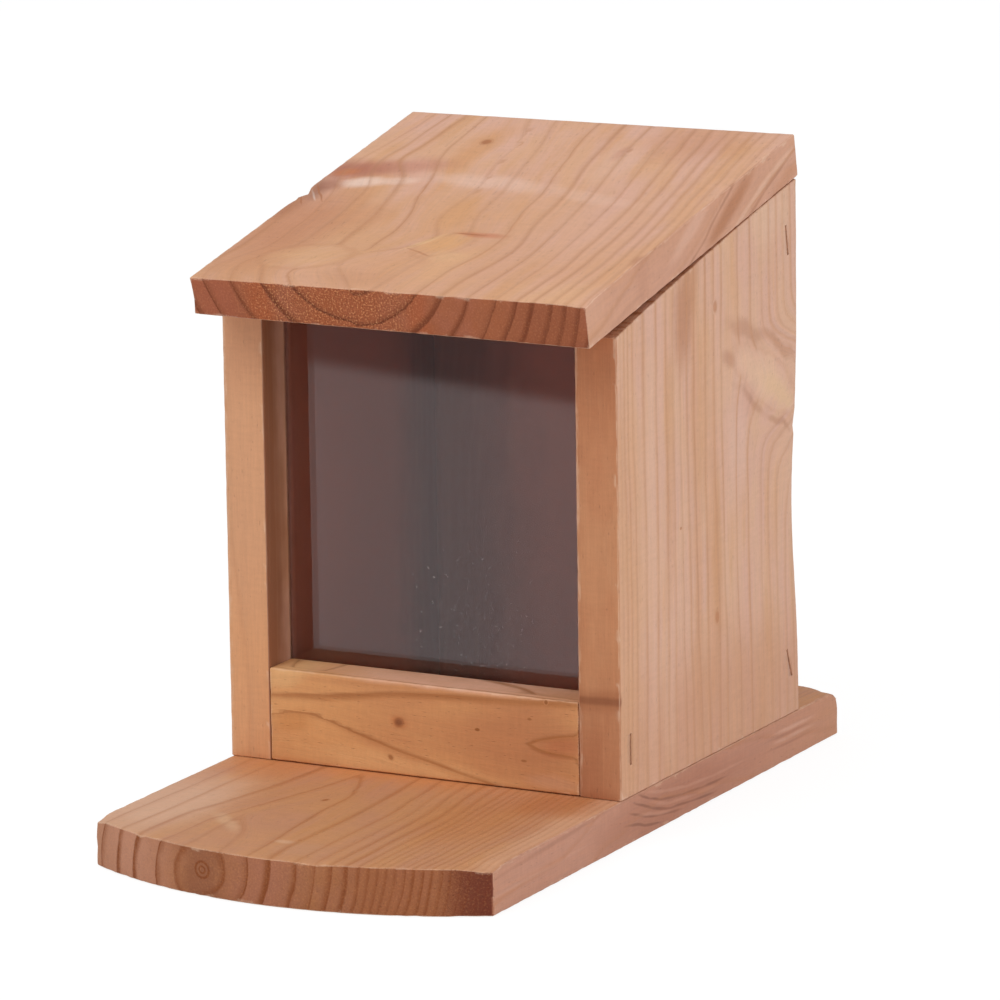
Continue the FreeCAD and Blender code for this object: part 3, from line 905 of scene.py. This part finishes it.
finish_board(right_panel, "right_side_panel", "box", right_paint)

# Back panel
# A board between the side panels, upright in its grain, with its top bevelled to their slope. It
# is stapled through the side panels, and the hinges are screwed to its rear face.

back_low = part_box("back_panel")[0]
back = sloping_board("back_panel", "back_panel_wood")[0]
ease_arrises(back, 0.4 * MM)
slice_up(back, (RIGHT, 2.2), (UP, 2.6), (REAR, 3.3))
wear(back, 0.14 * MM, 2.6)
cut_with(back, "left_side_staples", -RIGHT)
cut_with(back, "right_side_staples", RIGHT)
cut_with(back, "base_staples", -UP)
cut_with(back, "body_hinge_screws", REAR)

back_axes = (UP, RIGHT, REAR, Vector((0, back_low.y, back_low.z)))

# Arches one inside another, with their tips up the board's middle: each one's left half, and
# its right half drawn in a little. Above a tip the ring count grows with the height alone.
back_stations = list(range(-5, 176, 10))
heights = [52, 72, 92, 112, 132, 152, 172, 192, 212]
least_counts = np.interp(back_stations, heights, [0.4, 1, 2, 3, 4, 5, 6, 7, 8])
left_halves = []
right_halves = []
for count in range(9, 0, -1):
    edge = 2 + 5.6 * count
    tip = 52 + 20 * count
    arch = [(-5, 1), (tip * 0.5, 0.86), (tip * 0.8, 0.6), (tip * 0.95, 0.3)]
    points = [(along, -edge * share) for along, share in arch] + [(tip, -1), (tip + 200, -1)]
    places = np.interp(back_stations, *zip(*points))
    counts = np.maximum(count, least_counts)
    left_halves.append((count, list(zip(back_stations, places, counts))))
    right_halves.append((count, list(zip(back_stations, 3 - places * 0.92, counts))))
middle = (None, [(-5, 0, 0.4), (72, 0, 1), (92, 0, 2), (172, 0, 6), (212, 0, 8)])
back_rings = left_halves + [middle] + right_halves[::-1]
back_growth = {
    "rings": back_rings,
    "pith": [(-5, 0.5), (165, 2.0)],
    "pith_height": -34,
    "face_height": 13,
    "lean": 0.0,
}
grow(back, back_axes, back_growth)
back_stains = [
    (110, 26, 22, 9, 0, (206, 146, 108), 0.5),
    (60, -20, 50, 12, 0, (210, 158, 126), 0.5),
]
# Painted shade on the inner face: redder all over and dark towards the left, where the inside of
# the box is in shade
back_inner_stains = [
    (70, 0, 300, 70, 0, (214, 136, 99), 0.9),
    (70, -46, 300, 34, 0, (126, 66, 48), 0.8),
]
back_paint = wood(
    "back_panel_wood",
    back_axes,
    side_tones,
    (206, 184, 172),
    contrast=0.45,
    inner_stains=back_inner_stains,
    knots=[(104, 27, 5.2, 4.0, 0, 0.7, 0.5), (38, -36, 1.6, 1.2, 0, 0.7, 0.2)],
    stains=back_stains,
)
finish_board(back, "back_panel", "box", back_paint)

# Front rail
# A low board between the side panels, a hair off the base, with its grain across the box. It
# keeps the food in when the lid is open and is stapled through the side panels.

rail_low, rail_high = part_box("front_rail")
rail = block("front_rail_wood", rail_low, rail_high)
ease_arrises(rail, 0.5 * MM)
slice_up(rail, (RIGHT, 1.6), (UP, 1.5), (REAR, 3.2))
wear(rail, 0.16 * MM, 2.4)
cut_with(rail, "left_side_staples", -RIGHT)
cut_with(rail, "right_side_staples", RIGHT)
rail_axes = (RIGHT, UP, -REAR, Vector((0, rail_high.y, rail_low.z)))
rail_growth = {
    "rings": [
        (0, [(-60, -22), (60, -24)]),
        (1.2, [(-60, -3), (60, -14)]),
        (2, [(-60, 10.5), (-53, 12.5), (-49, 14), (-45, 15.5), (-40, 16), (-35, 15.7), (-30, 14.2),
             (-25, 12.6), (-20, 11), (-15, 9.8), (-10, 8), (0, 5.5), (10, 3.2), (20, 1.2), (25, 0),
             (40, -3), (60, -6)]),
        (2.35, [(-60, 14), (-40, 16.8), (0, 10.5, 2.3), (20, 8.5), (33, 7, 2.45), (60, 3, 2.5)]),
        (2, [(-60, 16.8, 2.4), (-40, 17.2, 2.4), (0, 14.2, 2.3), (30, 13.1, 2.08), (33.2, 13),
             (34, 12.2), (36, 11.4), (40, 10.8), (45, 10.4), (60, 9.6)]),
        (None, [(-60, 17, 2.4), (-40, 17.4, 2.4), (0, 14.3, 2.3), (30, 13.2, 2.08),
             (33.3, 13.2, 2), (36, 13.2, 1.9), (60, 13.6, 1.5)]),
        (2, [(-60, 17.2, 2.4), (-40, 17.6, 2.4), (0, 14.4, 2.3), (30, 13.3, 2.08), (33.2, 13.4),
             (34, 14.2), (36, 15), (40, 16), (45, 17), (60, 19)]),
        (3, [(-60, 18.6), (-45, 20), (-30, 21.3), (-20, 22.6), (-10, 24.2), (0, 24.8), (10, 25.2),
             (20, 25.6), (30, 26.1), (40, 26.6), (60, 27.4)]),
        (4, [(-60, 38), (60, 42)]),
    ],
    "pith": [(-60, 16), (60, 12)],
    "pith_height": -24,
    "face_height": 13,
    "lean": 0.0,
}
grow(rail, rail_axes, rail_growth)
rail_tones = (
    (216, 156, 104),
    (186, 122, 72),
    (148, 88, 42),
    (206, 144, 96),
    (222, 164, 108),
)
# The lighter left half and darker right half are partly the wood's tone and partly painted light
# falling from the left; the pale band along the top (across 28) is painted light that brightens
# the top face
rail_stains_and_light = [
    (-34, 16, 30, 18, 0, (226, 166, 108), 0.6),
    (34, 14, 30, 18, 0, (188, 124, 84), 0.7),
    (-7.5, 15.4, 3.4, 2.8, 0, (192, 112, 60), 0.7),
    (-7.5, 15.4, 2.2, 1.8, 30, (116, 60, 32), 0.9),
    (-5, 1.5, 42, 5, -4, (230, 178, 124), 0.6),
    (12, 15, 28, 4.5, -4, (202, 138, 92), 0.5),
    (-44, 25, 10, 4, 15, (234, 186, 130), 0.6),
    (-42, 12, 9, 4, 10, (206, 140, 82), 0.6),
    (5, 27, 60, 1.6, 3, (196, 134, 86), 0.5),
    (44, 13.5, 9, 4, 8, (186, 112, 72), 0.6),
    (42, 3, 12, 3, 0, (212, 158, 126), 0.4),
    (10, 28, 60, 2.4, 0, (238, 186, 160), 0.8),
]
rail_knots = [
    (-7.5, 15.4, 1.5, 1.3, 20, 0.0, 0.2),
    (17.5, 15.9, 1.0, 0.6, 0, 0.9, 0.0),
    (-10.5, 4.8, 1.2, 0.9, -40, 0.7, 0.2),
    (39.3, 26, 0.8, 0.9, 0, 0.9, 0.0),
    (34, 20.6, 0.9, 0.5, 0, 0.6, 0.0),
    (32, 8.3, 1.2, 0.5, 0, 0.6, 0.0),
]
rail_paint = wood(
    "front_rail_wood",
    rail_axes,
    rail_tones,
    (206, 184, 172),
    contrast=0.75,
    line_width=2.4,
    knots=rail_knots,
    stains=rail_stains_and_light,
)
finish_board(rail, "front_rail", "box", rail_paint)

# Window
# A sheet of clear acrylic that slides down the side panels' grooves onto the base. Its faces are
# glossy, with dust specks and a few fine rubs, and its sawn edges are dull. Its pinkish tint is
# painted shade: it darkens and reddens the inside of the box seen through it.

window = block("window_acrylic", window_low, window_high)
ease_arrises(window, 0.15 * MM)
window_paint = Paint("window_acrylic")
spot = window_paint.place()
wide, deep, high = (window_paint.along(spot, direction) for direction in (RIGHT, REAR, UP))
smear = window_paint.cloud(window_paint.join(wide / 12, deep, high / 70), 2.0)
heap = ellipse(wide, high, 8, 56, 44, 44, 0).rise(1.4, 0.2)
dust = window_paint.cloud(window_paint.join(wide / 0.8, deep, high / 0.9), 1.0)
dust = (dust + heap * 0.12).rise(0.32, 0.4)
scuff = window_paint.cloud(window_paint.join(wide / 0.7, deep, high / 26), 2.0).rise(0.2, 0.42)
window_paint.feed(
    # Pinkish tint on the light passing through: painted shade over the inside of the box
    Base_Color=(0.85, 0.68, 0.69, 1.0),
    Roughness=0.02 + (smear + 0.2).rise(0.0, 1.0) * 0.03,
    Transmission_Weight=1.0,
    IOR=1.49,
)
film = window_paint.node("ShaderNodeBsdfDiffuse", {}, [(0.8, 0.74, 0.72, 1.0), 1.0])
sawn = high.rise(window_high.z / MM - 0.5, window_high.z / MM - 0.2)
window_paint.cover((0.004 + dust * heap * 0.28 + scuff * 0.02 + sawn * 0.6).least(1.0), film)
finish_board(window, "window_sheet", "box", window_paint)

# Lid
# One board with its grain along the slope, sawn thinner at the left. It is hinged at the rear,
# overhangs the window as a drip edge, and its end grain shows in front.

lid_mesh = nodes["lid_board"].data
underfaces = [face for face in lid_mesh.polygons if face.normal.z < -0.9]
underside = max(underfaces, key=lambda face: face.area)
lid_up = -underside.normal.copy()
lid_up.x = 0
lid_up.normalize()
lid_along = RIGHT.cross(lid_up) * -1
lid_near, lid_far = reach_of(lid_mesh, lid_along)
lid_bottom, lid_top = reach_of(lid_mesh, lid_up)
lid_corners = [vertex.co for vertex in lid_mesh.vertices]
lid_half = max(corner.x for corner in lid_corners)
lid_left_top = max(lid_up.dot(corner) for corner in lid_corners if corner.x < 0)

lid = block("lid_board_wood", (-lid_half, lid_near, lid_bottom), (lid_half, lid_far, lid_top))
ease_arrises(lid, 0.5 * MM)
slice_up(lid, (RIGHT, 2), (REAR, 2), (UP, 2.6))
lid_wear = [
    ((-lid_half, lid_near + 0.068, lid_top - 0.001), (0.004, 0.0028, 0.006), (0.0013, 0, -0.0005)),
    ((-lid_half, lid_near + 0.0615, lid_top - 0.001), (0.004, 0.0015, 0.005), (0.0006, 0, 0)),
    ((-lid_half, lid_near, lid_bottom + 0.005), (0.004, 0.004, 0.004), (0.0004, 0.0004, 0)),
    ((lid_half, lid_near, lid_top), (0.006, 0.004, 0.004), (0, 0, -0.0006)),
]
wear(lid, 0.22 * MM, 2.4, lid_wear)
lid_frame = Matrix((RIGHT, lid_along, lid_up)).transposed()
for vertex in lid.data.vertices:
    left_share = (lid_half - vertex.co.x) / (2 * lid_half)
    height_share = (vertex.co.z - lid_bottom) / (lid_top - lid_bottom)
    vertex.co.z -= (lid_top - lid_left_top) * left_share * height_share
    vertex.co = lid_frame @ vertex.co
cut_with(lid, "lid_hinge_screws", lid_along)
lid_axes = (lid_along, RIGHT, lid_up, lid_along * lid_near + lid_up * lid_bottom)
lid_rings = [
    (7, [(-5, -74), (26, -68), (50, -68), (84, -72), (145, -70)]),
    (6, [(-5, -66), (26, -59.5), (50, -59.5), (76, -63), (84, -66), (145, -63)]),
    (5, [(-5, -57), (0, -58.5), (9, -60.3), (18, -56), (26, -51.5), (50, -50.6), (63, -52),
         (71, -53.7), (76, -56), (84, -58.5), (96, -58.5), (122, -55), (145, -53.5)]),
    (4, [(-5, -48.5), (0, -50.3), (7, -53.3), (15, -54), (24, -47), (31, -43.6), (43, -43.6),
         (53, -42.8), (63, -44), (71, -44.5), (76, -45.8), (81, -48), (88, -51.5), (97, -52.5),
         (110, -51), (145, -49.5)]),
    (3, [(-5, -37), (0, -40.5), (8, -44.5), (15, -48), (22, -41), (30, -31.6), (37, -32.2),
         (44, -31.6), (54, -31.8), (62, -33.5), (71, -35.3), (79, -37), (84, -38.8), (88, -41.4),
         (93, -45), (97, -47.5), (105, -46.5), (115, -45.5), (145, -44)]),
    (2, [(-5, -27), (0, -31), (5.5, -35), (9.5, -37.5), (20, -29), (26, -20.5), (35, -21.5),
         (42, -20.2), (52, -21.3), (59, -23), (66, -25.7), (73, -27.9), (82, -29.6), (89, -31.4),
         (94, -33.5), (101, -36), (107, -37), (116, -37.5), (145, -38.5)]),
    (1, [(-5, -8), (0, -12), (9.5, -20), (15, -25), (20, -25.5), (26, -24), (29, -20), (30.5, -15),
         (32, -10.5), (34, -8), (40, -6), (45, -7), (48, -10.3), (54, -12.5), (61, -13.1),
         (71, -12.5), (81, -12.7), (87, -14.3), (95, -16), (101, -17.1), (113, -17.1),
         (119, -18.2), (125, -20.8), (145, -27)]),
    (0.55, [(-5, -6), (0, -8), (15, -13), (25, -9), (35, -5), (45, -2.5), (55, -6), (70, -7.3),
         (87, -9.2), (100, -11.5), (115, -12.9), (125, -15.7), (145, -20)]),
    (1, [(-5, -4.3), (0, -4), (10, -2.5), (16, -1.5), (22, -0.4), (30, 1), (40, 3), (45, 3.3),
         (49, 2.4), (55, 0.2), (61, -1.5), (69, -2.1), (79, -2.7), (87, -4.2), (98, -5.9),
         (108, -7.2), (116, -8.6), (124, -10.7), (131, -12.5), (145, -14.5)]),
    (2, [(-5, 10), (19, 11), (27, 13.5), (35, 14.8), (43, 15.1), (50, 13.6), (59, 11.5),
         (65, 10.3), (80, 9.2), (87, 7.7), (96, 6.4), (106, 4.6), (116, 2.4), (127, 1.1),
         (145, -0.8)]),
    (3, [(-5, 18), (9.5, 18.6), (22, 21.3), (32, 23.3), (39, 23), (48, 20.8), (57, 19), (70, 18),
         (81, 16.9), (92, 14.7), (102, 12.9), (114, 11.6), (123, 10.5), (130, 9.6), (145, 8)]),
    (4, [(-5, 26.8), (9.5, 27.8), (21, 29.4), (32, 30), (44, 29.2), (57, 28.1), (70, 27),
         (81, 25.7), (92, 23.9), (101, 22.4), (110, 21.3), (117, 19.5), (130, 18.2), (145, 17)]),
    (5, [(-5, 34.8), (13, 36.2), (26, 37.2), (41, 36.6), (57, 35.7), (70, 34.9), (81, 33.6),
         (94, 31.4), (102, 30), (111, 28.7), (119, 27.4), (130, 25.9), (145, 24.5)]),
    (6, [(-5, 41.2), (13, 42.8), (26, 43.4), (39, 42.8), (57, 41.9), (70, 41), (80, 40.1),
         (92, 38.4), (105, 36.6), (118, 34.9), (130, 32.7), (145, 30.5)]),
    (7, [(-5, 46.3), (13, 47.6), (30, 48.2), (48, 47.6), (61, 46.7), (74, 45.2), (83, 44.5),
         (94, 43.2), (103, 41.4), (114, 40.1), (123, 39.3), (131, 37.5), (145, 35.5)]),
    (8, [(-5, 52.2), (30, 53.2), (60, 51.3), (95, 47.3), (125, 43.2), (145, 41.5)]),
    (9, [(-5, 56.6), (30, 57.4), (60, 54.8), (95, 50.8), (125, 46.2), (145, 44.5)]),
    (10, [(-5, 61), (30, 61.2), (60, 58.2), (95, 54.6), (125, 51.2), (145, 49.5)]),
    (11, [(-5, 65.5), (60, 61.6), (95, 57.6), (125, 53.8), (145, 52)]),
    (12, [(-5, 70), (60, 65.7), (92, 62.3), (125, 59.2), (145, 57.5)]),
    (13, [(-5, 76), (60, 70), (95, 65.8), (133, 63.4), (145, 62.8)]),
    (14, [(-5, 82), (60, 76), (95, 71), (145, 68)]),
]
lid_growth = {
    "rings": lid_rings,
    "pith": [(-5, -10.8), (20, -12), (60, -8), (100, -14), (145, -20)],
    "pith_height": 26.7,
    "face_height": 11.9,
    "lean": 0.0,
}
grow(lid, lid_axes, lid_growth)
lid_tones = (
    (221, 170, 135),
    (196, 141, 100),
    (174, 108, 64),
    (222, 173, 150),
    (214, 156, 106),
)
lid_stains = [
    (25, 0, 76, 100, 0, (208, 150, 106), 0.4),
    (24, -52, 50, 20, 0, (200, 140, 96), 0.5),
    (44, -54, 40, 20, 0, (200, 138, 102), 0.8),
    (48, -34, 18, 9, 0, (206, 146, 106), 0.6),
    (58, -62, 16, 6, 0, (178, 116, 84), 0.7),
    (74, -58, 8, 6, 0, (166, 106, 82), 0.7),
    (92, -42, 9, 20, -18, (196, 132, 108), 0.7),
    (87, -57, 11, 17, -22, (180, 112, 88), 0.9),
    (85, -58, 4, 7, -30, (198, 120, 72), 0.7),
    (78, -49, 5, 9, -20, (242, 212, 196), 0.75),
    (81, -38, 4, 10, -14, (236, 198, 178), 0.7),
    (84, -10, 7, 26, 4, (234, 194, 174), 0.6),
    (56, 34, 36, 20, 0, (222, 174, 152), 0.5),
    (78, 26, 5, 22, 14, (230, 186, 164), 0.45),
    (58, -8, 22, 7, 0, (216, 158, 108), 0.65),
    (112, -27, 22, 7, 0, (214, 154, 104), 0.65),
    (124, 36, 20, 20, 0, (200, 140, 108), 0.45),
    (112, 18, 8, 2.4, 0, (186, 122, 98), 0.6),
    (34, -26, 18, 16, 0, (214, 160, 114), 0.55),
    (37, -1, 10, 8, 30, (222, 166, 112), 0.7),
    (45, 8, 2.6, 9, 4, (198, 116, 78), 0.6),
    (37, -7, 9, 1.6, 30, (238, 196, 146), 0.6),
    (27, 5, 5, 7, 10, (226, 180, 136), 0.5),
    (8, -14, 10, 14, 0, (204, 148, 112), 0.5),
    (20, 8, 18, 8, 0, (224, 172, 128), 0.5),
    (4, 50, 16, 16, 0, (226, 176, 134), 0.5),
    (34, 62, 5, 3, 0, (178, 122, 92), 0.6),
    (104, 20, 20, 10, 0, (226, 182, 160), 0.4),
    (66.5, -58.6, 7, 0.5, -34, (250, 226, 212), 0.9),
    (21, -36, 9.5, 14, -14, (222, 172, 124), 0.5),
    (70, -60, 12, 4.5, -20, (150, 96, 72), 0.6),
    (17, -44, 4, 7, -14, (206, 150, 112), 0.5),
]
lid_end_stains = [
    (0, -55, 10, 12, 0, (220, 158, 130), 0.6),
    (0, -14, 10, 24, 0, (222, 152, 102), 0.6),
    (0, -40, 10, 6, 0, (232, 150, 92), 0.5),
    (0, 10, 10, 5, 0, (226, 148, 94), 0.5),
    (0, 52, 10, 18, 0, (190, 134, 100), 0.6),
]
lid_side_stains = [
    (68, 6, 120, 30, 0, (202, 148, 122), 0.8),
    (22, 2, 16, 1.6, 8, (194, 142, 116), 0.6),
    (66, 9.5, 18, 3, 18, (224, 178, 156), 0.5),
    (90, 6, 22, 3.4, 19, (180, 120, 84), 0.85),
    (128, 2, 15, 4, 8, (196, 138, 104), 0.7),
]
for line, half_width, tone in (
    ([(59, -1), (70, 2.6), (84, 8.3), (95, 13)], 0.8, (172, 118, 88)),
    ([(92, -0.5), (106, 3.8), (118, 6.8), (133, 9)], 1.5, (228, 184, 158)),
    ([(100, -0.5), (116, 3.9), (127, 6.6)], 0.8, (172, 118, 88)),
):
    lid_side_stains += streak(line, half_width, tone, 0.6)
lid_knots = [
    (21, -36, 9.0, 13.6, -14, 0.0, 0.14),
    (36, 0, 11, 6.5, 28, 0.0, 0.12),
    (45, 4, 0.7, 6.5, 2, 0.75, 0.0),
    (29.5, -5, 0.6, 7.5, 28, 0.45, 0.0),
    (115, -27, 2.6, 2.1, 0, 0.85, 0.3),
    (115, 19.6, 2.4, 1.0, 0, 0.4, 0.0),
    (68, -57.2, 9.5, 0.45, -34, 0.75, 0.0),
    (62, -60.2, 5.5, 0.4, -30, 0.75, 0.0),
]
lid_paint = wood(
    "lid_board_wood",
    lid_axes,
    lid_tones,
    (192, 150, 132),
    contrast=0.55,
    line_width=1.8,
    sand=(-18, 30, 1.0),
    depth=0.14,
    knots=lid_knots,
    stains=lid_stains,
    end_stains=lid_end_stains,
    side_stains=lid_side_stains,
)
finish_board(lid, "lid_board", "lid", lid_paint)

# Hinges, pins, screws and staples
# Zinc-plated pressed steel hinges and countersunk screws at the rear, and staples of galvanised
# wire shot through the boards. Their shapes are the frame's own.


def plated(name, bright, dull, roughness, metal=1.0):
    """Plated steel with a mottled film, fine rubs and dull patches."""
    paint = Paint(name)
    place = paint.place()
    mottle = paint.cloud(place, 3.0)
    paint.feed(
        Base_Color=paint.mix((mottle + 0.5).rise(0.3, 0.75), colour(*bright), colour(*dull)),
        Metallic=metal,
        Roughness=roughness + mottle * 0.25,
        Normal=paint.bump(paint.cloud(paint.scaled(place, 4.0), 2.0), 0.01),
    )
    return paint.material


finishes = {
    "hinge": plated("plated_steel", (196, 196, 190), (150, 148, 140), 0.35),
    "screws": plated("screw_steel", (190, 188, 178), (140, 136, 124), 0.38),
    "staples": plated("staple_wire", (178, 120, 86), (128, 80, 54), 0.5, 0.1),
}
for node in nodes:
    for word, material in finishes.items():
        if word in node and (word != "hinge" or "screws" not in node):
            nodes[node].data.materials.clear()
            nodes[node].data.materials.append(material)

# Studio
# A white floor, brighter near the object than beyond its front edge, where only reflections see
# it, with one broad soft light above and in front, another at the right, and a pale surround.

bpy.ops.object.select_all(action="DESELECT")
bpy.ops.mesh.primitive_plane_add(size=12, location=(0, 0, -0.0002))
floor = bpy.context.object
floor.name = "studio_floor"
floor_paint = Paint("studio_floor")
floor_paint.feed(Base_Color=(0.9, 0.9, 0.9, 1.0), Roughness=0.9)
seen = floor_paint.node("ShaderNodeLightPath", {}, [], "Is Camera Ray")
mirrored = floor_paint.node("ShaderNodeLightPath", {}, [], "Is Glossy Ray")
through = floor_paint.node("ShaderNodeLightPath", {}, [], "Is Transmission Ray")
spot = floor_paint.place()
edge_slant = 0.226
bright_to, dull_from = -470, -494
ahead = floor_paint.along(spot, REAR) - floor_paint.along(spot, RIGHT) * edge_slant
beyond = mirrored * ahead.rise(bright_to, dull_from)
shown = floor_paint.mix(beyond, (1.0, 1.0, 1.0, 1.0), (0.25, 0.24, 0.24, 1.0))
glow = floor_paint.node("ShaderNodeEmission", {}, [shown, 1.1])
floor_paint.cover(seen * 0.8 + mirrored * 0.85 + through * 0.8, glow)
floor.data.materials.append(floor_paint.material)

world = bpy.data.worlds.new("surround")
world.use_nodes = True
sky = world.node_tree.nodes["Background"]
sky.inputs["Color"].default_value = (1.0, 1.0, 1.0, 1.0)
sky.inputs["Strength"].default_value = 0.62
bpy.context.scene.world = world


def soft_light(name, place, aim, side, power):
    """A square soft light at a place, turned to face a point."""
    bpy.ops.object.select_all(action="DESELECT")
    bpy.ops.object.light_add(type="AREA", location=place)
    lamp = bpy.context.object
    lamp.name = name
    lamp.data.shape = "SQUARE"
    lamp.data.size = side
    lamp.data.energy = power
    lamp.rotation_euler = (Vector(aim) - Vector(place)).to_track_quat("-Z", "Y").to_euler()


soft_light("key", (-0.5, -1.1, 1.5), (0, 0, 0.08), 1.0, 9)
soft_light("fill", (1.4, -0.5, 0.9), (0, 0, 0.08), 1.0, 7)

# Camera
# A long lens at the photograph's angle, fitted to the corners of the boards.

azimuth = math.radians(27.836)
elevation = math.radians(12.549)
roll = -0.0146
focal_length_in_frames = 7.3796
distance = 2.0901
aim = Vector((0, -0.0046, 0.0835))
aim_right = 0.01332
aim_up = 0.00653

back_way = Vector(
    (
        math.sin(azimuth) * math.cos(elevation),
        -math.cos(azimuth) * math.cos(elevation),
        math.sin(elevation),
    )
)
level_right = Vector((math.cos(azimuth), math.sin(azimuth), 0))
level_up = back_way.cross(level_right)
frame_right = level_right * math.cos(roll) + level_up * math.sin(roll)
frame_up = level_up * math.cos(roll) - level_right * math.sin(roll)

bpy.ops.object.camera_add()
camera = bpy.context.object
camera.data.sensor_width = 36.0
camera.data.lens = camera.data.sensor_width * focal_length_in_frames
camera.data.clip_end = 50
turn = Matrix((frame_right, frame_up, back_way)).transposed().to_4x4()
spot = aim + back_way * distance + frame_right * aim_right + frame_up * aim_up
camera.matrix_world = Matrix.Translation(spot) @ turn
bpy.context.scene.camera = camera
bpy.context.scene.view_settings.view_transform = "Standard"
